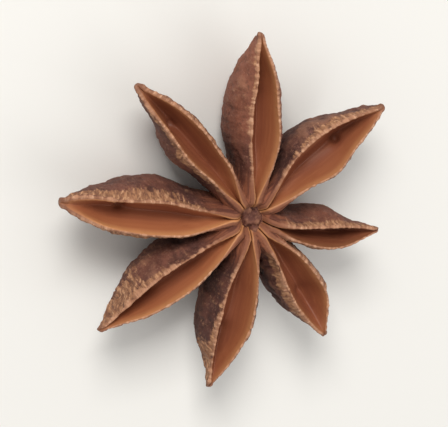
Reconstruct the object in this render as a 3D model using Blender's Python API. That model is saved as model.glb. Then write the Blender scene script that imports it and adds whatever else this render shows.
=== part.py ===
"""A dried star anise pod.

Eight boat-shaped follicles stand round a short woody column like the rays of a star. Each has
split open along its top seam, so it is a thick-walled trough with two lips, a rounded keel and a
short beak. Near the column the lips close to a slit and the follicles grow together. The pod
lies flat on its keels, with the scar of the broken stalk above the ground in the middle.

The model is one solid, in metres, with +Z up and the origin under the middle of its box.
"""

import math
from typing import NamedTuple

import bmesh
import bpy
from mathutils import Matrix, Vector

MM = 0.001

# The pod: the lips' height where they meet, and the sunken ring that they stop at.
HUB_RIM_HEIGHT = 7.95 * MM
HUB_RING_RADIUS = 0.75 * MM
CLOSEST_SPACING = math.radians(41)

# The wall of a follicle.
LIP_THICKNESS = 0.34 * MM
LIP_DROP = 0.10 * MM
LIP_CREST = 0.06 * MM
SLIT_HALF_WIDTH = 0.20 * MM
NARROWEST_INSIDE = 0.03 * MM
BEAK_HALF_WIDTH = 0.17 * MM
BEAK_HEIGHT = 0.9 * MM
BEAK_ROUNDING = 0.035  # share of the length over which the beak rounds off
BEAK_BLUNTNESS = 0.25  # size of its last section against the first of the rounding

# Where along a follicle, as a share of its length, its shape changes.
SLIT_END = 0.03
GAPE_END = 0.985
DEEPEST = 0.42
PIT = 0.67
PIT_SPREAD = 0.05

# The column: a spindle with a small knob in the sunken ring, and the stalk's scar below.
COLUMN_PROFILE = (  # (radius, height), top to bottom
    (0.00, 7.55),
    (0.30, 7.50),
    (0.48, 7.28),
    (0.60, 7.10),
    (1.00, 6.90),
    (1.45, 6.00),
    (1.70, 4.20),
    (1.60, 2.20),
    (1.30, 1.10),
    (1.12, 0.75),
    (0.95, 0.55),
    (0.40, 0.62),
    (0.00, 0.66),
)
COLUMN_SIDES = 24

# How finely a follicle is divided.
STATIONS = 21
OUTER_STEPS = 6
INNER_STEPS = 4


class Follicle(NamedTuple):
    """One follicle: angles in degrees, lengths in millimetres, widest as a share of the length."""

    name: str
    heading: float  # anticlockwise from +X
    length: float
    height: float  # from lips to keel where it is deepest
    half_gape: float  # from its middle to the crest of a lip
    widest: float
    lean: float  # the lips lean anticlockwise
    bow: float  # its middle bows anticlockwise
    arch: float  # the lips rise in the middle
    groove: float  # depth of the hollow
    belly: float  # how far the outer wall stands out past the lip


FOLLICLES = (
    Follicle("east", 350.0, 13.6, 8.0, 1.10, 0.57, -3.0, -0.95, 0.6, 2.3, 0.85),
    Follicle("north_east", 37.3, 17.3, 8.82, 1.92, 0.53, 4.0, 0.05, 0.8, 2.7, 0.95),
    Follicle("north", 87.6, 18.9, 8.75, 1.42, 0.55, -4.0, -0.20, 0.7, 2.6, 1.05),
    Follicle("north_west", 128.8, 18.8, 8.60, 1.42, 0.52, -4.0, -0.10, 0.8, 2.8, 0.75),
    Follicle("west", 169.4, 20.0, 8.75, 1.73, 0.53, 4.0, 0.15, 0.7, 2.7, 1.05),
    Follicle("south_west", 211.8, 18.8, 9.02, 1.54, 0.50, 1.0, 0.15, 1.0, 2.7, 1.05),
    Follicle("south", 254.7, 17.8, 8.90, 1.72, 0.54, 0.0, 0.70, 0.9, 2.8, 0.95),
    Follicle("south_east", 300.6, 15.2, 8.70, 1.62, 0.60, 5.5, 0.30, 0.7, 2.7, 1.10),
)
LEAN_PIVOT = 6.5 * MM  # depth under the lips that a leaning section turns about


def ease(start, end, value):
    """Rises smoothly from 0 at start to 1 at end."""
    share = min(max((value - start) / (end - start), 0.0), 1.0)
    return share * share * (3 - 2 * share)


def bezier(ends_and_handles, steps):
    """The points of a cubic curve, without its first one."""
    first, handle, other_handle, last = (Vector(p) for p in ends_and_handles)
    points = []
    for step in range(1, steps + 1):
        t = step / steps
        points.append(
            (1 - t) ** 3 * first
            + 3 * (1 - t) ** 2 * t * handle
            + 3 * (1 - t) * t * t * other_handle
            + t**3 * last
        )
    return points


def half_gape_at(follicle, share):
    """Half the distance between the lips' crests: a slit, then an opening, then the beak."""
    if share < follicle.widest:
        rise = (share - SLIT_END) / (follicle.widest - SLIT_END)
        opening = math.sin(math.pi / 2 * max(rise, 0.0)) ** 1.2
        narrowest = SLIT_HALF_WIDTH * (1 + 0.6 * ease(0.0, 0.1, share))
    else:
        fall = (GAPE_END - share) / (GAPE_END - follicle.widest)
        opening = math.sin(math.pi / 2 * max(fall, 0.0))
        narrowest = BEAK_HALF_WIDTH
    return max(follicle.half_gape * MM * opening, narrowest)


def lip_thickness_at(share):
    thin_slit = 0.45 + 0.55 * ease(0.0, 0.2, share)
    thin_beak = 1 - 0.35 * ease(0.8, 1.0, share)
    return LIP_THICKNESS * thin_slit * thin_beak


def height_at(follicle, share):
    """From lips to keel: nearly full at the column, and falling away to the beak."""
    if share < DEEPEST:
        shape = 1 - 0.18 * ((DEEPEST - share) / DEEPEST) ** 2
    else:
        shape = (1 - ((share - DEEPEST) / (1 - DEEPEST)) ** 2.1) ** 0.85
    return max(follicle.height * MM * shape, BEAK_HEIGHT)


def half_width_at(follicle, share):
    """Half the width at the belly, where neighbours are fused at first and then just clear."""
    lip = half_gape_at(follicle, share) + lip_thickness_at(share) / 2
    belly = follicle.belly * MM * ease(0.0, 0.35, share) * (1 - ease(0.6, 1.02, share))
    free = lip + 0.12 * MM + belly
    distance = share * follicle.length * MM
    to_neighbour = distance * math.tan(CLOSEST_SPACING / 2)
    fused = 1.35 - 0.37 * ease(2.0 * MM, 4.0 * MM, distance)
    return min(free, to_neighbour * fused)


def groove_at(follicle, share):
    """Depth of the hollow: shallow in the slit, deepest at the pit, gone before the beak."""
    opening = 0.25 + 0.75 * ease(0.10, 0.45, share)
    pit = 1 + 0.12 * math.exp(-(((share - PIT) / PIT_SPREAD) ** 2))
    closing = 1 - 0.92 * ease(0.72, 0.98, share)
    return follicle.groove * MM * opening * pit * closing


def section(follicle, share):
    """A closed ring across the follicle, as (across, height over the lips) points."""
    gape = half_gape_at(follicle, share)
    lip = lip_thickness_at(share)
    height = height_at(follicle, share)
    width = half_width_at(follicle, share)
    groove = groove_at(follicle, share)
    crest = Vector((gape, LIP_CREST))
    outer_lip = Vector((gape + lip / 2, -LIP_DROP))
    inner_lip = Vector((max(gape - lip / 2, NARROWEST_INSIDE), -LIP_DROP))
    keel = Vector((0, -height))
    bottom = Vector((0, -LIP_DROP - groove))
    wall = ((width * 1.18, -0.32 * height), (width * 0.85, -height))
    lining = (
        (inner_lip.x * 0.98, -LIP_DROP - 0.45 * groove),
        (inner_lip.x * 0.45, -LIP_DROP - 0.85 * groove),
    )
    outside = [crest, outer_lip, *bezier((outer_lip, *wall, keel), OUTER_STEPS)]
    inside = [inner_lip, *bezier((inner_lip, *lining, bottom), INNER_STEPS)]
    mirrored = Matrix(((-1, 0), (0, 1)))
    other_outside = [mirrored @ point for point in reversed(outside[:-1])]
    other_inside = [mirrored @ point for point in inside]
    return outside + other_outside + other_inside + inside[-2::-1]


def rounded(ring, share):
    """Draws a ring near the end of the beak in towards its own middle."""
    beyond = max((share - 1 + BEAK_ROUNDING) / BEAK_ROUNDING, 0.0)
    scale = BEAK_BLUNTNESS + (1 - BEAK_BLUNTNESS) * math.sqrt(1 - beyond * beyond)
    middle = sum(ring, Vector((0, 0))) / len(ring)
    return [middle + (point - middle) * scale for point in ring]


def place(follicle, share, point):
    """A section's point, leaning and bowed, on the follicle along +X."""
    lean = math.radians(follicle.lean) * ease(0.05, 0.4, share) * (1 - ease(0.7, 1.0, share))
    over_pivot = point.y + LEAN_PIVOT
    across = point.x * math.cos(lean) + over_pivot * math.sin(lean)
    height = over_pivot * math.cos(lean) - point.x * math.sin(lean) - LEAN_PIVOT
    bow = follicle.bow * MM * math.sin(math.pi * share)
    arch = follicle.arch * MM * math.sin(math.pi * share) ** 0.9
    return Vector((share * follicle.length * MM, bow + across, HUB_RIM_HEIGHT + arch + height))


def stations(follicle):
    """Shares of the length, closer together towards the beak."""
    first = HUB_RING_RADIUS / (follicle.length * MM)
    even = [step / (STATIONS - 4) for step in range(STATIONS - 3)]
    shares = [first + (1 - BEAK_ROUNDING - first) * step for step in even]
    return shares + [1 - BEAK_ROUNDING * left for left in (0.5, 0.15, 0.0)]


def follicle_mesh(follicle):
    """A ring drawn out along the follicle from the column to the beak, and capped."""
    shape = bmesh.new()
    shares = stations(follicle)
    rings = [rounded(section(follicle, share), share) for share in shares]
    bmesh.ops.create_circle(shape, segments=len(rings[0]))
    verts = list(shape.verts)
    edges = list(shape.edges)
    bmesh.ops.contextual_create(shape, geom=edges)
    for index, ring in enumerate(rings):
        if index:
            made = bmesh.ops.extrude_edge_only(shape, edges=edges)["geom"]
            new_verts = {item for item in made if isinstance(item, bmesh.types.BMVert)}
            verts = [
                next(e.other_vert(v) for e in v.link_edges if e.other_vert(v) in new_verts)
                for v in verts
            ]
            edges = [
                item
                for item in made
                if isinstance(item, bmesh.types.BMEdge) and new_verts.issuperset(item.verts)
            ]
        for vert, point in zip(verts, ring):
            vert.co = place(follicle, shares[index], point)
    bmesh.ops.contextual_create(shape, geom=edges)
    bmesh.ops.recalc_face_normals(shape, faces=shape.faces)
    mesh = bpy.data.meshes.new(follicle.name)
    shape.to_mesh(mesh)
    shape.free()
    return mesh


def column_mesh():
    """The column's profile spun round the pod's axis."""
    shape = bmesh.new()
    points = [shape.verts.new((radius * MM, 0, height * MM)) for radius, height in COLUMN_PROFILE]
    profile = [shape.edges.new(pair) for pair in zip(points, points[1:])]
    bmesh.ops.spin(
        shape,
        geom=points + profile,
        cent=(0, 0, 0),
        axis=(0, 0, 1),
        angle=math.tau,
        steps=COLUMN_SIDES,
        use_merge=True,
    )
    bmesh.ops.remove_doubles(shape, verts=shape.verts, dist=0.01 * MM)
    bmesh.ops.recalc_face_normals(shape, faces=shape.faces)
    mesh = bpy.data.meshes.new("star_anise_pod")
    shape.to_mesh(mesh)
    shape.free()
    return mesh


def husk_material():
    """Dry, woody husk: reddish brown and nearly matt."""
    material = bpy.data.materials.new("husk")
    material.use_nodes = True
    shader = material.node_tree.nodes["Principled BSDF"]
    shader.inputs["Base Color"].default_value = (0.195, 0.082, 0.040, 1.0)
    shader.inputs["Roughness"].default_value = 0.62
    shader.inputs["Metallic"].default_value = 0.0
    return material


def new_collection(name):
    collection = bpy.data.collections.new(name)
    bpy.context.scene.collection.children.link(collection)
    return collection


def add_object(mesh, collection, parent):
    made = bpy.data.objects.new(mesh.name, mesh)
    made.parent = parent
    collection.objects.link(made)
    return made


def as_helper(helper):
    helper.hide_render = True
    helper.display_type = "WIRE"


def ground_block():
    """A block whose top face is the ground, which flattens the keels that reach it."""
    shape = bmesh.new()
    bmesh.ops.create_cube(shape, size=1.0)
    bmesh.ops.scale(shape, vec=(60 * MM, 60 * MM, 4 * MM), verts=shape.verts)
    bmesh.ops.translate(shape, vec=(0, 0, -2 * MM), verts=shape.verts)
    mesh = bpy.data.meshes.new("ground")
    shape.to_mesh(mesh)
    shape.free()
    return mesh


def combine(target, helper, operation):
    modifier = target.modifiers.new(helper.name, "BOOLEAN")
    modifier.object = helper
    modifier.operation = operation


def centre_over_origin(axis, pieces):
    """Moves the pod's axis so that the middle of the pod's box stands over the origin."""
    bpy.context.view_layer.update()
    corners = [piece.matrix_world @ vert.co for piece in pieces for vert in piece.data.vertices]
    for side in (0, 1):
        along = [corner[side] for corner in corners]
        axis.location[side] -= (min(along) + max(along)) / 2


def build():
    for leftover in list(bpy.data.objects):
        bpy.data.objects.remove(leftover)
    pod_collection = new_collection("star_anise")
    helpers = new_collection("cutters")
    axis = bpy.data.objects.new("pod_axis", None)
    pod_collection.objects.link(axis)

    pod = add_object(column_mesh(), pod_collection, axis)
    pod.data.materials.append(husk_material())
    follicles = []
    for follicle in FOLLICLES:
        piece = add_object(follicle_mesh(follicle), helpers, axis)
        piece.rotation_euler.z = math.radians(follicle.heading)
        as_helper(piece)
        combine(pod, piece, "UNION")
        follicles.append(piece)
    ground = add_object(ground_block(), helpers, axis)
    as_helper(ground)
    combine(pod, ground, "DIFFERENCE")
    pod.data.shade_smooth()
    centre_over_origin(axis, follicles)


build()
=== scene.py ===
"""The looks of a dried star anise pod: its relief, its finish, and the light and camera."""

import math
from typing import NamedTuple

import bmesh
import bpy
from mathutils import Matrix, Vector, noise


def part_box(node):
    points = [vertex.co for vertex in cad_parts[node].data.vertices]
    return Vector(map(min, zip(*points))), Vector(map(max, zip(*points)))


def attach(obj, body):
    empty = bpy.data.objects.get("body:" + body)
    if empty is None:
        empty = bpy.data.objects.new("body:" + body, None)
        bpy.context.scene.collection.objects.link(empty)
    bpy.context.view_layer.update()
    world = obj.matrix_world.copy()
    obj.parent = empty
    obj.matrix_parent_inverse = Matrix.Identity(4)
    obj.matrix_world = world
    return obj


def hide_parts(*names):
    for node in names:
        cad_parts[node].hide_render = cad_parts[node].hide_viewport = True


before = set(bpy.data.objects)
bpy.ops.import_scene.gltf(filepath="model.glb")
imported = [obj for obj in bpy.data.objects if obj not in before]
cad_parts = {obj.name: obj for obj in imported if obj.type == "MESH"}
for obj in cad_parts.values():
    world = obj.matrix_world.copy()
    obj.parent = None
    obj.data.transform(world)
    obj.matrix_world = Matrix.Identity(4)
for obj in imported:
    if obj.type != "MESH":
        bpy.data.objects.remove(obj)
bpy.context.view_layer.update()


# ---------------------------------------------------------------------------------------------
# The follicles: eight woody husks that stood round the flower's axis like rays. Each dried,
# split along its top seam and let go of its seed, so it is a trough with a wrinkled outside,
# two crumbling lips and a polished hollow. A skin is a flat sheet bent round into that shape.
# ---------------------------------------------------------------------------------------------

MM = 0.001


class Follicle(NamedTuple):
    """One follicle: angles in degrees, lengths in millimetres, shares from 0 to 1."""

    name: str
    heading: float  # anticlockwise from +X
    length: float
    height: float  # from lips to keel where it is deepest
    half_gape: float  # from its middle to the crest of a lip
    widest: float  # share of the length where it gapes most
    lean: float  # the lips lean anticlockwise
    bow: float  # its middle bows anticlockwise
    arch: float  # the lips rise in the middle
    groove: float  # depth of the hollow
    belly: float  # how far the outer wall stands out past the lip
    shoulder: float  # share of the length where the seed's chamber steps down to the beak
    beak: float  # 0 is a sharp beak, 1 a blunt one with thick lips
    pit: float  # depth of the pit at the end of the seam
    bleach_start: float  # share of the length where the bleached band under the lips starts
    bleach_depth: float
    fluting: float  # strength of the folds near the beak
    ruddiness: float
    darkness: float
    # The hollow's darker, redder colour is partly painted shade.
    hollow_tone_and_shade: float  # 0 is ochre, 1 is deep red-brown
    seed: float


FOLLICLES = (
    Follicle("east", 350.0, 13.6, 8.0, 1.05, 0.67, -3.0, -0.75, 0.6, 2.3, 0.75,
             0.72, 0.1, 0.1, 0.32, 1.2, 0.5, 0.6, 0.1, 1.0, 3.1),
    Follicle("north_east", 37.3, 17.3, 8.82, 1.92, 0.53, 4.0, 0.05, 0.8, 2.7, 0.95,
             0.62, 0.3, 0.65, 0.58, 1.5, 0.6, 0.1, 0.7, 0.3, 17.3),
    Follicle("north", 87.6, 18.9, 8.75, 1.42, 0.48, -4.0, -0.20, 0.7, 2.6, 1.15,
             0.86, 0.5, 0.1, 0.80, 0.5, 0.5, 1.0, 0.3, 0.3, 29.9),
    Follicle("north_west", 128.8, 18.8, 8.60, 1.42, 0.52, -4.0, -0.10, 0.8, 2.8, 0.75,
             0.64, 1.1, 0.65, 0.3, 1.6, 0.7, 0.4, 0.3, 0.4, 41.7),
    Follicle("west", 169.4, 20.0, 8.75, 1.73, 0.53, 4.5, 0.15, 0.7, 2.7, 1.35,
             0.70, 1.5, 0.75, 0.38, 2.1, 0.8, 0.3, 0.4, 0.0, 53.2),
    Follicle("south_west", 211.8, 18.8, 9.02, 1.54, 0.50, 1.0, 0.15, 1.0, 2.7, 1.05,
             0.74, 0.1, 0.2, 0.66, 5.5, 1.4, 0.4, 0.4, 0.1, 67.4),
    Follicle("south", 254.7, 17.8, 8.90, 1.72, 0.54, 0.0, 0.70, 0.9, 2.8, 0.95,
             0.84, 0.1, 0.1, 0.70, 4.5, 1.2, 0.3, 0.7, 0.3, 79.8),
    Follicle("south_east", 300.6, 15.2, 8.70, 1.60, 0.67, 5.5, 0.20, 0.7, 2.7, 1.00,
             0.75, 0.3, 0.1, 0.2, 1.6, 1.1, 0.1, 0.2, 0.4, 97.6),
)
CLOSEST_SPACING = math.radians(41)  # between the two follicles that stand closest

HUB_RIM_HEIGHT = 7.95  # the lips' height where the follicles meet
HUB_RING_RADIUS = 0.75  # where a follicle starts, inside the column
HUB_DIVE = 1.3  # how far its lips sink there
HUB_LIP_SWELL = 1.4
SLIT_HALF_WIDTH = 0.20  # the seam, where it is still nearly shut beside the column
SLIT_END = 0.03
FUSED_WIDTH = 1.35  # neighbours grown together overlap by this much of their spacing
PARTED_WIDTH_LOSS = 0.29
PARTING = (2.0, 4.0)  # how far out they part
CROWDING = 0.4  # how softly a free wall gives way to its neighbour

LIP_THICKNESS = 0.24
LIP_DROP = 0.10
LIP_CREST = 0.13
LEAN_PIVOT = 6.5  # how far under the lips a leaning follicle turns
NARROWEST_INSIDE = 0.05
DEEPEST = 0.42  # share of the length where the keel is lowest
SHOULDER = 0.09  # how much the step down to the beak takes off the height
SHOULDER_RUN = 0.04
PIT = 0.67  # share of the length where the seam's pit lies
PIT_SPREAD = 0.05
PIT_RADIUS = 0.42
SEAM_HALF_WIDTH = 0.26

BEAK_HALF_WIDTH = 0.16
BEAK_HEIGHT = 1.2
BEAK_LIP_SWELL = 0.95
BEAK_ROUNDING = 0.045  # share of the length over which the nose closes
BEAK_END = 0.15
GAPE_END = 0.985

# Half a ring starts at the keel, climbs the outer wall, goes over the lip and down to the groove.
OUTER_STEPS = 28
LIP_STEPS = 7
INNER_STEPS = 15
HALF_RING = OUTER_STEPS + LIP_STEPS + INNER_STEPS
ROWS_PER_MM = 6.5
WELD = 1e-4


def ease(start, end, value):
    """Rises smoothly from 0 at start to 1 at end."""
    share = min(max((value - start) / (end - start), 0.0), 1.0)
    return share * share * (3 - 2 * share)


def bezier(t, first, handle, other_handle, last):
    left = 1 - t
    return (
        left**3 * first
        + 3 * left**2 * t * handle
        + 3 * left * t * t * other_handle
        + t**3 * last
    )


def wobble(seed, x, y=0.0, z=0.0):
    """Smooth noise about 0 at up to three coordinates, different for each seed."""
    return noise.noise((x + seed, y - seed, z + 2 * seed))


def crease(value, width):
    """1 along the lines where a noise changes sign, falling to 0 beside them."""
    return max(1 - abs(value) / width, 0.0) ** 2


class Station:
    """One cross-section of a follicle, at a share of its length, in millimetres."""

    def __init__(self, follicle, share):
        f = follicle
        self.follicle = f
        self.share = share
        self.x = share * f.length
        # The gape opens from the seam to its widest and closes again at the beak.
        if share < f.widest:
            rise = (share - SLIT_END) / (f.widest - SLIT_END)
            opening = math.sin(math.pi / 2 * max(rise, 0.0)) ** 1.2
            narrowest = SLIT_HALF_WIDTH * (1 + 0.6 * ease(0.0, 0.1, share))
        else:
            fall = (GAPE_END - share) / (GAPE_END - f.widest)
            opening = math.sin(math.pi / 2 * max(fall, 0.0)) ** (1 - 0.33 * f.beak)
            narrowest = BEAK_HALF_WIDTH
        swollen = HUB_LIP_SWELL * (1 - ease(2.2, 5.5, self.x))
        swollen += BEAK_LIP_SWELL * f.beak * ease(0.62, 0.92, share)
        self.lip = LIP_THICKNESS * (1 + swollen)
        self.gape = max(f.half_gape * opening, narrowest, self.lip / 2 + NARROWEST_INSIDE)
        # The keel drops to its deepest and sweeps up to the beak, with a step at the shoulder.
        if share < DEEPEST:
            shape = 1 - 0.18 * ((DEEPEST - share) / DEEPEST) ** 2
        else:
            beyond = min((share - DEEPEST) / (1 - DEEPEST), 1.0)
            shape = (1 - beyond**2.2) ** 0.82
        stepped = ease(f.shoulder - SHOULDER_RUN, f.shoulder + SHOULDER_RUN, share)
        stepped *= 1 - ease(0.85, 1.0, share)
        self.height = max(f.height * shape * (1 - SHOULDER * stepped), BEAK_HEIGHT)
        # The seed's chamber bulges past the lips, as far as the neighbours leave room.
        filled = ease(0.0, 0.35, share) * (1 - ease(f.shoulder - 0.14, 0.97, share))
        belly = f.belly * filled * (1 - 3 * SHOULDER * stepped)
        ledge = 0.06 * (1 - ease(0.8, 1.0, share))
        free = self.gape + self.lip / 2 + ledge + belly
        fused = FUSED_WIDTH - PARTED_WIDTH_LOSS * ease(*PARTING, self.x)
        crowded = self.x * math.tan(CLOSEST_SPACING / 2) * fused
        softness = CROWDING * ease(2.8, 4.8, self.x)
        self.width = (free + crowded - math.hypot(free - crowded, softness)) / 2  # the smaller, softly
        opened = 0.25 + 0.75 * ease(0.10, 0.45, share)
        pit = 1 + 0.12 * math.exp(-(((share - PIT) / PIT_SPREAD) ** 2))
        closing = 1 - 0.98 * ease(0.72, 0.985, share)
        self.groove = f.groove * opened * pit * closing
        self.lean = math.radians(f.lean) * ease(0.05, 0.4, share) * (1 - ease(0.7, 1.0, share))
        self.bow = f.bow * math.sin(math.pi * share)
        dive = HUB_DIVE * (1 - ease(0.7, 2.1, self.x)) ** 1.5
        self.height -= dive
        self.rim = HUB_RIM_HEIGHT + f.arch * max(math.sin(math.pi * share), 0.0) ** 0.9 - dive
        beyond = min(max((share - 1) / BEAK_ROUNDING + 1, 0.0), 1.0)
        squareness = 2 + 1.5 * f.beak
        self.nose = max((1 - beyond**squareness) ** (1 / squareness), BEAK_END)

    def half_ring(self):
        """Points (across, height over the lips) from the keel over the lip to the groove."""
        fused = 1 - ease(2.0, 5.5, self.x)
        outer_lip = Vector((self.gape + self.lip / 2, -LIP_DROP * (1 - 0.7 * fused)))
        inner_lip = Vector((max(self.gape - self.lip / 2, NARROWEST_INSIDE), -LIP_DROP))
        keel = Vector((0, -self.height))
        bilge = Vector((self.width * 0.85, -self.height))
        bulge = 1.18 + 0.7 * fused - 0.14 * ease(0.65, 0.95, self.share)
        wall = Vector((self.width * bulge, -(0.32 - 0.30 * fused) * self.height))
        points = []
        for i in range(OUTER_STEPS):
            climb = 1 - (1 - i / OUTER_STEPS) ** 1.5
            points.append(bezier(climb, keel, bilge, wall, outer_lip))
        middle = (outer_lip + inner_lip) / 2
        for i in range(LIP_STEPS):
            over = math.pi * i / LIP_STEPS
            half = (outer_lip.x - inner_lip.x) / 2
            points.append(middle + Vector((half * math.cos(over), LIP_CREST * math.sin(over))))
        lining = Vector((inner_lip.x * 0.82, -LIP_DROP - 0.36 * self.groove))
        trough = Vector((inner_lip.x * 0.32, -LIP_DROP - 0.90 * self.groove))
        bottom = Vector((0, -LIP_DROP - self.groove))
        for i in range(INNER_STEPS + 1):
            points.append(bezier(i / INNER_STEPS, inner_lip, lining, trough, bottom))
        centre = (keel + bottom) / 2
        return [centre + (point - centre) * self.nose for point in points]

    def place(self, across, height):
        """A section's point, leaning and bowed, on the follicle along +X, in millimetres."""
        over_pivot = height + LEAN_PIVOT
        leant = across * math.cos(self.lean) + over_pivot * math.sin(self.lean)
        raised = over_pivot * math.cos(self.lean) - across * math.sin(self.lean) - LEAN_PIVOT
        return Vector((self.x, self.bow + leant, self.rim + raised))


# What the mesh carries at each corner for the finish.
FINISH_LAYERS = (
    "along", "inside", "outside", "lining", "crest", "teeth", "raised", "bleach", "flutes",
    "ruddy", "dark", "tone_and_shade", "grain_x", "grain_y", "grain_z",
)


class Spot:
    """Where a point of a skin lies: on which wall, how far from the lip, and how it is finished."""

    def __init__(self, station, ring, girths, step, side):
        f = station.follicle
        self.share = station.share
        self.side = side
        self.girth = girths[step]  # millimetres down from the lip's crest, on either wall
        self.outer = 1 - ease(OUTER_STEPS - 2, OUTER_STEPS + 1, step)
        self.inner = ease(OUTER_STEPS + LIP_STEPS - 1, OUTER_STEPS + LIP_STEPS + 2, step)
        self.crest = (1 - self.outer) * (1 - self.inner)
        crest_step = OUTER_STEPS + LIP_STEPS / 2
        self.lining = ease(crest_step, crest_step + 1.5, step)

        # The dried walls swell and sag unevenly, except beside the column.
        uneven = ease(0.08, 0.35, self.share)
        swell = 1 + 0.14 * wobble(f.seed + 23 * side, 0.28 * station.x) * uneven
        sag = 0.30 * wobble(f.seed + 29 * side, 0.30 * station.x) * uneven * min(ring[step].x / 0.6, 1)
        upper = 1 - min(-ring[step].y / 3, 1)
        self.point = station.place(side * ring[step].x * swell, ring[step].y + sag * upper)
        self.x = station.x

        # The lip is worn further down the wall on its beads and where it has crumbled.
        crumbled = max(wobble(f.seed + 53 * side, 0.45 * station.x), 0) * ease(0.2, 0.4, self.share)
        reach = 0.24 + (0.12 + 0.5 * crumbled) * self.teeth(f) + 0.7 * crumbled
        self.lip = 1 - ease(0.6 * reach, 1.3 * reach, self.girth)
        if self.lining > 0:
            self.lip = 1 - ease(0.06, 0.20, self.girth)

        # The bleached band hangs from the lip, and starts and ends raggedly.
        ragged = 0.08 * wobble(f.seed + 31 * side, 0.7 * station.x)
        ragged += 0.2 * (1 - ease(0.4, 1.1, self.girth))
        depth = f.bleach_depth * (1 + 0.35 * wobble(f.seed + 37 * side, 0.9 * station.x))
        started = ease(f.bleach_start - 0.1, f.bleach_start + 0.15, self.share + ragged)
        self.bleach = self.outer * started * (1 - ease(0.55 * depth, 1.1 * depth, self.girth))

    def relief(self, f):
        """How far the dried surface stands out here, in millimetres."""
        x, across, _ = self.point
        relief = 0.0
        self.flutes = 0.0  # how many flutes out it lies
        teeth = self.teeth(f)
        if self.outer > 0:
            relief += self.outer * self.outer_relief(f, teeth)
        if self.crest > 0:
            relief += self.crest * (0.05 * teeth + 0.04 * wobble(f.seed + 41 * self.side, 5.0 * x))
        if self.inner > 0:
            fibres = 0.014 * wobble(f.seed + 43, 0.10 * x, 4.0 * across)
            waves = 0.07 * wobble(f.seed + 44, 0.35 * x, 0.6 * across)
            wandering = 0.25 * wobble(f.seed + 45, 0.5 * x)
            middle = across - f.bow * math.sin(math.pi * self.share) + wandering
            seamed = ease(0.20, 0.28, self.share) * (1 - ease(0.60, 0.66, self.share))
            seam = 0.08 * math.exp(-((middle / SEAM_HALF_WIDTH) ** 2)) * seamed
            from_pit = ((self.share - PIT) * f.length / PIT_RADIUS) ** 2 + (middle / SEAM_HALF_WIDTH) ** 2
            relief += self.inner * (fibres + waves + seam - f.pit * math.exp(-from_pit))
            relief += self.inner * 0.03 * teeth * (1 - ease(0.1, 0.4, self.girth))
        return relief * (1 - ease(0.985, 1.0, self.share))

    def teeth(self, f):
        """The crinkles across a lip, from -1 in the nicks to 1 on the beads."""
        beads = wobble(f.seed + 11 * self.side, 2.3 * self.x)
        beads += 0.8 * wobble(f.seed + 13 * self.side, 4.6 * self.x)
        return 1.4 * beads * ease(0.10, 0.34, self.share)

    def outer_relief(self, f, teeth):
        """Lumps, dents, folds, flutes near the beak and fibres near the column."""
        x, across, height = self.point
        near_hub = 1 - ease(0.10, 0.34, self.share)
        outward = ease(0.45, 0.85, self.share)
        lumps = 0.26 * wobble(f.seed, 0.30 * x, 0.30 * across, 0.30 * height)
        dents = 0.12 * wobble(f.seed + 1, 0.75 * x, 0.75 * across, 0.65 * height)
        warp = 0.9 * wobble(f.seed + 2, 0.45 * x, 0.45 * across, 0.45 * height)
        warp += 0.25 * wobble(f.seed + 7, 1.6 * x, 1.6 * across, 1.6 * height)
        folds = crease(wobble(f.seed + 3, 0.55 * x + warp, 0.16 * across, 0.14 * height), 0.28)
        self.flutes = x + 0.4 * warp - 0.45 * height + 0.2 * wobble(f.seed + 9, 1.1 * x, 0.5 * height)
        uneven = 0.7 + 0.9 * wobble(f.seed + 4, 0.6 * x, 0.6 * across, 0.6 * height)
        flutes = math.sin(math.tau * self.flutes) * uneven
        grain = 0.08 * wobble(f.seed + 5, 1.7 * x, 1.7 * across, 1.5 * height)
        grain += 0.05 * wobble(f.seed + 8, 3.4 * x, 2.6 * across, 2.6 * height)
        fibres = wobble(f.seed + 6, 0.22 * x, 1.9 * across, 1.5 * height)
        below_lip = ease(0.0, 1.2, self.girth)
        relief = (lumps + dents) * below_lip + grain * (0.5 + 0.5 * below_lip + 0.6 * self.bleach)
        relief -= 0.14 * f.fluting * folds * below_lip
        relief += 0.035 * f.fluting * flutes * outward * (0.3 + 0.7 * below_lip)
        relief += 0.06 * teeth * (1 - ease(0.1, 0.8, self.girth))
        return relief * (1 - 0.7 * near_hub) + 0.13 * fibres * near_hub


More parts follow.
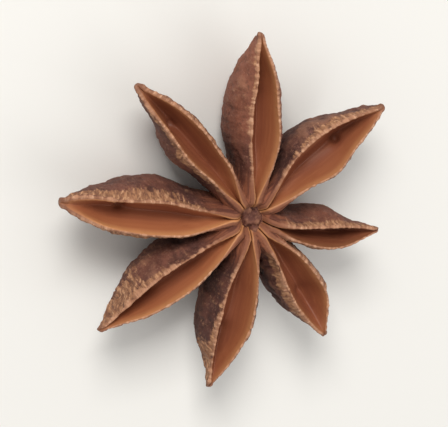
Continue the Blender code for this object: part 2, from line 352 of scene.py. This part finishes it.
def follicle_skin(follicle):
    """A flat sheet, bent round the follicle's sections and closed along the keel."""
    skin = bmesh.new()
    rows = round(follicle.length * ROWS_PER_MM)
    bmesh.ops.create_grid(skin, x_segments=rows, y_segments=2 * HALF_RING, size=0.5)
    first = HUB_RING_RADIUS / follicle.length
    rings = []
    for row in range(rows + 1):  # the rows crowd together towards the beak
        run = row / rows
        crowded = run + 0.7 * run**12 * (1 - run)
        station = Station(follicle, first + (1 - first) * crowded)
        ring = station.half_ring()
        walked = [0.0]
        for here, there in zip(ring, ring[1:]):
            walked.append(walked[-1] + (there - here).length)
        crest = walked[OUTER_STEPS + LIP_STEPS // 2]
        rings.append((station, ring, [abs(length - crest) for length in walked]))
    relief = skin.verts.layers.float.new("relief")
    spots = {}
    for vert in skin.verts:
        row = round((vert.co.x + 0.5) * rows)
        around = round((vert.co.y + 0.5) * 2 * HALF_RING)
        step = min(around, 2 * HALF_RING - around)
        side = 1 if around < HALF_RING else -1
        spot = Spot(*rings[row], step, side)
        vert.co = spot.point
        vert[relief] = spot.relief(follicle)
        spots[vert] = spot
    finish = {name: skin.loops.layers.float.new(name) for name in FINISH_LAYERS}
    for face in skin.faces:
        for loop in face.loops:
            spot = spots[loop.vert]
            loop[finish["along"]] = spot.share
            loop[finish["inside"]] = spot.lining * min(spot.girth / 3, 1)
            loop[finish["outside"]] = (1 - spot.lining) * min(spot.girth / 3, 1)
            loop[finish["lining"]] = spot.lining
            loop[finish["crest"]] = spot.lip
            loop[finish["teeth"]] = spot.teeth(follicle)
            loop[finish["raised"]] = loop.vert[relief]
            loop[finish["bleach"]] = spot.bleach
            loop[finish["flutes"]] = spot.flutes
            loop[finish["ruddy"]] = follicle.ruddiness
            loop[finish["dark"]] = follicle.darkness
            loop[finish["tone_and_shade"]] = follicle.hollow_tone_and_shade
            loop[finish["grain_x"]] = spot.point.x + 3 * follicle.seed
            loop[finish["grain_y"]] = spot.point.y
            loop[finish["grain_z"]] = spot.point.z
    bmesh.ops.remove_doubles(skin, verts=skin.verts, dist=WELD)
    bmesh.ops.holes_fill(skin, edges=skin.edges, sides=0)
    bmesh.ops.recalc_face_normals(skin, faces=skin.faces)
    skin.normal_update()
    moves = [(vert, vert.normal * vert[relief]) for vert in skin.verts]
    for vert, move in moves:
        vert.co += move
    skin.verts.layers.float.remove(relief)
    return skin


def add_piece(skin, name):
    """An object at the origin, made of a skin whose place is in its mesh."""
    mesh = bpy.data.meshes.new(name)
    skin.to_mesh(mesh)
    skin.free()
    piece = bpy.data.objects.new(name, mesh)
    bpy.context.scene.collection.objects.link(piece)
    return piece


husks = []
for follicle in FOLLICLES:
    skin = follicle_skin(follicle)
    turn = Matrix.Rotation(math.radians(follicle.heading), 4, "Z")
    bmesh.ops.transform(skin, matrix=Matrix.Scale(MM, 4) @ turn, verts=skin.verts)
    husks.append(add_piece(skin, follicle.name))


# ---------------------------------------------------------------------------------------------
# The column: the stub of the flower's axis that the eight follicles grew on. It fills the middle
# between them, sinks to a small rough knob inside their ring, and ends below in a hollow scar
# where the stalk broke off.
# ---------------------------------------------------------------------------------------------

COLUMN_PROFILE = (
    (0.00, 7.55), (0.40, 7.56), (0.80, 7.45), (1.15, 7.15), (1.35, 6.75), (1.55, 6.00), (1.70, 4.20),
    (1.60, 2.20), (1.30, 1.10), (1.12, 0.75), (0.95, 0.55), (0.40, 0.62), (0.00, 0.66),
)
COLUMN_OVAL = 1.2
COLUMN_CUTS = 5
COLUMN_SIDES = 64
LUMPS, LUMP_SPACING = 0.34, 1.2
KNOBS, KNOB_SPACING = 0.30, 2.4


def column_skin():
    """The profile, spun round and roughened."""
    shape = bmesh.new()
    points = [shape.verts.new((radius, 0, height)) for radius, height in COLUMN_PROFILE]
    profile = [shape.edges.new(pair) for pair in zip(points, points[1:])]
    bmesh.ops.subdivide_edges(shape, edges=profile, cuts=COLUMN_CUTS)
    bmesh.ops.spin(shape, geom=list(shape.verts) + list(shape.edges), cent=(0, 0, 0), axis=(0, 0, 1),
                   angle=math.tau, steps=COLUMN_SIDES, use_merge=True)
    bmesh.ops.remove_doubles(shape, verts=shape.verts, dist=WELD)
    bmesh.ops.recalc_face_normals(shape, faces=shape.faces)
    shape.normal_update()
    raised = {}
    for vert in shape.verts:
        lumps = LUMPS * wobble(5, *(LUMP_SPACING * vert.co))
        raised[vert] = lumps + KNOBS * wobble(6, *(KNOB_SPACING * vert.co))
    for vert, relief in raised.items():
        vert.co += vert.normal * relief
        vert.co.y *= COLUMN_OVAL
    finish = {name: shape.loops.layers.float.new(name) for name in FINISH_LAYERS}
    for face in shape.faces:
        for loop in face.loops:
            loop[finish["along"]] = 0.3
            loop[finish["raised"]] = raised[loop.vert]
            loop[finish["outside"]] = 1.0
            loop[finish["grain_x"]] = loop.vert.co.x
            loop[finish["grain_y"]] = loop.vert.co.y
            loop[finish["grain_z"]] = loop.vert.co.z
    bmesh.ops.transform(shape, matrix=Matrix.Scale(MM, 4), verts=shape.verts)
    return shape


# ---------------------------------------------------------------------------------------------
# The whole pod: column and follicles are one woody growth, so their skins are joined into one
# body and set down on their keels. The husk is matt, mottled brown wood outside, bleached and
# frayed under the lips, and a smooth ochre lining inside.
# ---------------------------------------------------------------------------------------------

pod = add_piece(column_skin(), "pod")
for husk in husks:
    joined = pod.modifiers.new(husk.name, "BOOLEAN")
    joined.object = husk
    joined.operation = "UNION"
    joined.solver = "MANIFOLD"
whole = bpy.data.meshes.new_from_object(pod.evaluated_get(bpy.context.evaluated_depsgraph_get()))
pod.modifiers.clear()
pod.data = whole
for husk in husks:
    bpy.data.objects.remove(husk)
lowest = [min(v.co[i] for v in whole.vertices) for i in range(3)]
highest = [max(v.co[i] for v in whole.vertices) for i in range(3)]
low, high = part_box("star_anise_pod")
shift = [(low[i] + high[i] - lowest[i] - highest[i]) / 2 for i in range(2)] + [0]
whole.transform(Matrix.Translation(shift))
for vert in whole.vertices:
    vert.co.z = max(vert.co.z, 0.0)
whole.shade_smooth()


def srgb(red, green, blue):
    """A colour on a screen's scale of 255, as the light that it stands for."""
    return [((c / 255 + 0.055) / 1.055) ** 2.4 for c in (red, green, blue)] + [1]


class Finish:
    """A procedural material, built node by node."""

    def __init__(self, name):
        self.material = bpy.data.materials.new(name)
        self.material.use_nodes = True
        self.tree = self.material.node_tree
        self.shader = self.tree.nodes["Principled BSDF"]

    def add(self, kind, inputs, output=0, **settings):
        """Adds a node, sets it, joins or fills its inputs, and gives one of its outputs."""
        node = self.tree.nodes.new(kind)
        for name, value in settings.items():
            setattr(node, name, value)
        for name, value in inputs.items():
            if isinstance(value, bpy.types.NodeSocket):
                self.tree.links.new(value, node.inputs[name])
            else:
                node.inputs[name].default_value = value
        return node.outputs[output]

    def layer(self, name):
        """A value that the mesh carries at each corner."""
        return self.add("ShaderNodeAttribute", {}, output="Fac", attribute_name=name)

    def steps(self, value, start, end, low=0.0, high=1.0):
        """Passes smoothly from low to high as the value goes from start to end."""
        inputs = {"Value": value, "From Min": start, "From Max": end, "To Min": low, "To Max": high}
        return self.add("ShaderNodeMapRange", inputs, interpolation_type="SMOOTHSTEP")

    def noise(self, place, scale, detail=2.0, rough=0.5):
        inputs = {"Vector": place, "Scale": scale, "Detail": detail, "Roughness": rough}
        return self.add("ShaderNodeTexNoise", inputs)

    def maths(self, operation, first, second):
        return self.add("ShaderNodeMath", {0: first, 1: second}, operation=operation)

    def mix(self, share, below, above, blend_type="MIX"):
        inputs = {0: share, 6: below, 7: above}
        return self.add("ShaderNodeMix", inputs, output=2, data_type="RGBA", blend_type=blend_type)


# The outer wall.
BARK = srgb(84, 49, 42)
WARM_BARK = srgb(110, 67, 55)
RUDDY_BARK = srgb(144, 86, 64)
DARK_BARK = srgb(62, 38, 36)
PALE_MOTTLE = srgb(140, 94, 78)
DARK_MOTTLE = srgb(50, 29, 26)
# Raised places are painted paler as highlight, and sunken ones darker as shade.
RIDGE_HIGHLIGHT = srgb(166, 116, 90)
WRINKLE_SHADE = srgb(60, 36, 31)
PALE_SPECKLE = srgb(162, 118, 96)
DARK_SPECKLE = srgb(54, 32, 29)
DARK_FLANK = srgb(92, 49, 37)
PALE_FLANK = srgb(144, 86, 60)

# The bleached band under the lips.
TAN = srgb(130, 87, 62)
STRAW = srgb(178, 128, 92)
# Each flute's crest is painted paler as highlight and each valley darker as shade.
FLUTE_CREST_HIGHLIGHT = srgb(210, 160, 122)
FLUTE_VALLEY_SHADE = srgb(100, 62, 48)
BAND_SPECKLE = srgb(92, 60, 46)

# The hollow.
# The lining is paler at its edge partly as painted highlight, and darker at its floor partly as painted
# shade.
HOLLOW_EDGE_HIGHLIGHT = srgb(190, 131, 86)
HOLLOW_SIDE = srgb(155, 93, 60)
HOLLOW_FLOOR_SHADE = srgb(138, 79, 54)
# Darker red-brown for some follicles' hollows, partly painted shade.
RED_HOLLOW_AND_SHADE = srgb(96, 50, 36)
PALE_STREAK = srgb(178, 114, 76)
DARK_STREAK = srgb(100, 50, 34)
HOLLOW_BEAK = srgb(124, 66, 46)

# The lips and the beak's tip.
# The lip's nicks are painted darker as shade and its beads paler as highlight.
LIP_NICK_SHADE = srgb(150, 102, 76)
LIP_BEAD_HIGHLIGHT = srgb(182, 132, 102)
PALE_CRUMB = srgb(216, 170, 138)
DARK_CRUMB = srgb(112, 72, 56)
LIP_AT_HUB = srgb(136, 84, 60)
BEAK_TIP = srgb(104, 64, 50)

MATT_WALL = (0.72, 0.72, 0.72, 1)
SMOOTH_LINING = (0.48, 0.48, 0.48, 1)
SHEEN = 0.32
GRAIN_DEPTH = 0.00016  # metres
ALONG_FIBRES = (0.12, 3.2, 3.2)  # how tightly a pattern is drawn out, lengthwise and across
ROUND_WALL = (2.4, 0.5, 0.5)
ACROSS_LIP = (3.4, 0.9, 0.9)
HALF_FLUTE = 0.33  # millimetres from a pale crest to a dark valley


def stretched(f, place, stretch):
    """A place squeezed or drawn out along the follicle, so that a pattern on it is too."""
    return f.add("ShaderNodeVectorMath", {0: place, 1: stretch}, operation="MULTIPLY")


def outer_wall(f, layer, place, fibres, mottle, speckle):
    """Matt brown bark: blotches, mottling, speckles, pale ridges and dark wrinkles, with painted
    highlight on what stands out and painted shade in what sinks.
    """
    blotches = f.noise(place, 0.35, 3.0, 0.6)
    wall = f.mix(f.steps(blotches, 0.38, 0.62), BARK, WARM_BARK)
    ruddy = f.maths("MULTIPLY", layer["ruddy"], f.steps(layer["along"], 0.25, 0.55))
    wall = f.mix(ruddy, wall, RUDDY_BARK)
    dark = f.maths("MULTIPLY", layer["dark"], f.steps(blotches, 0.65, 0.35, 0.5, 1.0))
    wall = f.mix(dark, wall, DARK_BARK)
    wall = f.mix(f.steps(mottle, 0.52, 0.68, 0.0, 0.6), wall, PALE_MOTTLE)
    wall = f.mix(f.steps(mottle, 0.46, 0.32, 0.0, 0.65), wall, DARK_MOTTLE)
    # Painted highlight where the surface is raised, painted shade where it is sunken.
    wall = f.mix(f.steps(layer["raised"], 0.04, 0.20, 0.0, 0.45), wall, RIDGE_HIGHLIGHT)
    wall = f.mix(f.steps(layer["raised"], -0.03, -0.20, 0.0, 0.45), wall, WRINKLE_SHADE)
    wall = f.mix(f.steps(speckle, 0.56, 0.68, 0.0, 0.5), wall, PALE_SPECKLE)
    wall = f.mix(f.steps(speckle, 0.44, 0.32, 0.0, 0.4), wall, DARK_SPECKLE)

    # The bleached band, fluted and frayed, with painted highlight on each flute's crest and painted shade
    # in each valley, and torn into the bark below it.
    round_wall = stretched(f, place, ROUND_WALL)
    band = f.mix(f.steps(f.noise(round_wall, 1.0, 5.0, 0.75), 0.35, 0.65), TAN, STRAW)
    wander = f.steps(f.noise(place, 0.7, 2.0, 0.6), 0.25, 0.75, 0.0, 0.6)
    flute = f.maths("PINGPONG", f.maths("ADD", layer["flutes"], wander), HALF_FLUTE)
    fraying = f.noise(round_wall, 0.7, 4.0, 0.7)
    frayed = f.steps(fraying, 0.42, 0.58)
    # Paler on each flute's crest as painted highlight, darker in each valley as painted shade.
    crest_highlights = f.maths("MULTIPLY", f.steps(flute, 0.18, 0.30, 0.0, 0.8), frayed)
    band = f.mix(crest_highlights, band, FLUTE_CREST_HIGHLIGHT)
    worn = f.steps(f.noise(round_wall, 1.1, 3.0, 0.6), 0.44, 0.60)
    valley_shade = f.maths("MULTIPLY", f.steps(flute, 0.14, 0.02, 0.0, 0.8), worn)
    band = f.mix(valley_shade, band, FLUTE_VALLEY_SHADE)
    band = f.mix(f.steps(speckle, 0.44, 0.30, 0.0, 0.7), band, BAND_SPECKLE)
    torn = f.maths("ADD", layer["bleach"], f.steps(mottle, 0.3, 0.7, -0.2, 0.2))
    torn = f.maths("ADD", torn, f.steps(fraying, 0.36, 0.64, -0.45, 0.35))
    wall = f.mix(f.steps(torn, 0.22, 0.72, 0.0, 0.9), wall, band)

    # Beside the column the wall is fibrous and nearly plain.
    flank = f.mix(f.steps(f.noise(fibres, 1.0, 3.0, 0.6), 0.35, 0.65), DARK_FLANK, PALE_FLANK)
    wall = f.mix(f.steps(layer["along"], 0.34, 0.17), wall, flank)
    return wall, f.maths("MULTIPLY", flute, frayed)


def hollow(f, layer, fibres):
    """The smooth lining, streaked lengthwise, with painted light in its colours: paler at its edge,
    partly as painted highlight, darker towards its floor, partly as painted shade, and redder and darker
    in some follicles' hollows, partly as painted shade.
    """
    streaks = f.noise(fibres, 1.0, 3.0, 0.55)
    # Paler near the lip partly as painted highlight, darker deeper down partly as painted shade.
    lining = f.mix(f.steps(layer["inside"], 0.05, 0.38), HOLLOW_EDGE_HIGHLIGHT, HOLLOW_SIDE)
    lining = f.mix(f.steps(layer["inside"], 0.36, 0.9), lining, HOLLOW_FLOOR_SHADE)
    # Some follicles' hollows are made redder and darker, partly as painted shade.
    lining = f.mix(f.maths("MULTIPLY", layer["tone_and_shade"], 0.7), lining, RED_HOLLOW_AND_SHADE)
    lining = f.mix(f.steps(streaks, 0.45, 0.75, 0.0, 0.22), lining, PALE_STREAK)
    lining = f.mix(f.steps(streaks, 0.45, 0.20, 0.0, 0.25), lining, DARK_STREAK)
    return f.mix(f.steps(layer["along"], 0.74, 0.94, 0.0, 0.4), lining, HOLLOW_BEAK)


def crumbling_lip(f, layer, place):
    """Pale beads and dark nicks across the lip: painted highlight on the beads and painted shade in the
    nicks.
    """
    beads = f.noise(stretched(f, place, ACROSS_LIP), 1.0, 3.0, 0.6)
    # Painted shade in the nicks and painted highlight on the beads.
    lip = f.mix(f.steps(layer["teeth"], -0.7, 0.7), LIP_NICK_SHADE, LIP_BEAD_HIGHLIGHT)
    lip = f.mix(f.steps(beads, 0.50, 0.68, 0.0, 0.7), lip, PALE_CRUMB)
    lip = f.mix(f.steps(beads, 0.46, 0.30, 0.0, 0.5), lip, DARK_CRUMB)
    return f.mix(f.steps(layer["along"], 0.36, 0.15), lip, LIP_AT_HUB)


def husk_finish():
    """Bark outside, lining inside and crumbs on the lip, with a fine grain in the bump."""
    f = Finish("husk")
    layer = {name: f.layer(name) for name in FINISH_LAYERS}
    grain = {"X": layer["grain_x"], "Y": layer["grain_y"], "Z": layer["grain_z"]}
    place = f.add("ShaderNodeCombineXYZ", grain)
    fibres = stretched(f, place, ALONG_FIBRES)
    mottle = f.noise(place, 1.5, 6.0, 0.80)
    speckle = f.noise(place, 4.2, 4.0, 0.7)
    wall, frayed_flutes = outer_wall(f, layer, place, fibres, mottle, speckle)
    colour = f.mix(layer["lining"], wall, hollow(f, layer, fibres))
    colour = f.mix(layer["crest"], colour, crumbling_lip(f, layer, place))
    colour = f.mix(f.steps(layer["along"], 0.945, 0.985, 0.0, 0.5), colour, BEAK_TIP)
    f.tree.links.new(colour, f.shader.inputs["Base Color"])
    rough = f.mix(layer["lining"], MATT_WALL, SMOOTH_LINING)
    f.tree.links.new(rough, f.shader.inputs["Roughness"])
    f.shader.inputs["Specular IOR Level"].default_value = SHEEN
    rugged = f.mix(layer["lining"], mottle, speckle)
    rugged = f.maths("ADD", rugged, f.maths("MULTIPLY", frayed_flutes, layer["bleach"]))
    strength = f.steps(layer["lining"], 0.0, 1.0, 0.9, 0.08)
    bump = f.add("ShaderNodeBump", {"Strength": strength, "Distance": GRAIN_DEPTH, "Height": rugged})
    f.tree.links.new(bump, f.shader.inputs["Normal"])
    return f.material


pod.data.materials.clear()
pod.data.materials.append(husk_finish())
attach(pod, "root")
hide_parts("star_anise_pod")


# ---------------------------------------------------------------------------------------------
# The table: a plain, pale, matt board that the pod stands on and throws its shadow on. It
# belongs to the studio and not to the pod.
# ---------------------------------------------------------------------------------------------

floor_shape = bmesh.new()
bmesh.ops.create_grid(floor_shape, x_segments=1, y_segments=1, size=1.0)
floor = add_piece(floor_shape, "table")
paint = bpy.data.materials.new("table")
paint.use_nodes = True
paint.node_tree.nodes["Principled BSDF"].inputs["Base Color"].default_value = (0.8, 0.79, 0.76, 1)
floor.data.materials.append(paint)


# ---------------------------------------------------------------------------------------------
# The studio's light and camera: an even pale room, one large soft lamp high to the north and a
# weak one opposite. The camera looks down at the pod from nearby, through a long lens.
# ---------------------------------------------------------------------------------------------

world = bpy.data.worlds.new("studio")
bpy.context.scene.world = world
world.use_nodes = True
world.node_tree.nodes["Background"].inputs["Color"].default_value = (1.0, 0.99, 0.97, 1)
world.node_tree.nodes["Background"].inputs["Strength"].default_value = 0.55


def light(name, place, size, power, colour):
    """A square lamp that faces the pod."""
    lamp = bpy.data.lights.new(name, "AREA")
    lamp.size = size
    lamp.energy = power
    lamp.color = colour
    made = bpy.data.objects.new(name, lamp)
    made.location = place
    made.rotation_euler = Vector(place).to_track_quat("Z", "Y").to_euler()
    bpy.context.scene.collection.objects.link(made)


light("key", (-0.12, 0.36, 0.40), 0.22, 2.3, (1.0, 0.98, 0.95))
light("fill", (0.3, -0.2, 0.4), 0.4, 0.5, (1.0, 1.0, 1.0))

CAMERA_TILT = math.radians(25)  # off the pod's axis
CAMERA_TURN = math.radians(135)  # anticlockwise from +X
CAMERA_DISTANCE = 0.30
CAMERA_AIM = Vector((0.0, 0.0, 0.0075))
direction = Vector((
    math.sin(CAMERA_TILT) * math.cos(CAMERA_TURN),
    math.sin(CAMERA_TILT) * math.sin(CAMERA_TURN),
    math.cos(CAMERA_TILT),
))
lens = bpy.data.cameras.new("camera")
lens.lens = 245
lens.clip_start = 0.01
camera = bpy.data.objects.new("camera", lens)
camera.location = CAMERA_AIM + CAMERA_DISTANCE * direction
right = Vector((0, 1, 0)).cross(direction).normalized()
up = direction.cross(right)
camera.rotation_euler = Matrix((right, up, direction)).transposed().to_euler()
bpy.context.scene.collection.objects.link(camera)
bpy.context.scene.camera = camera
bpy.context.scene.view_settings.view_transform = "Standard"
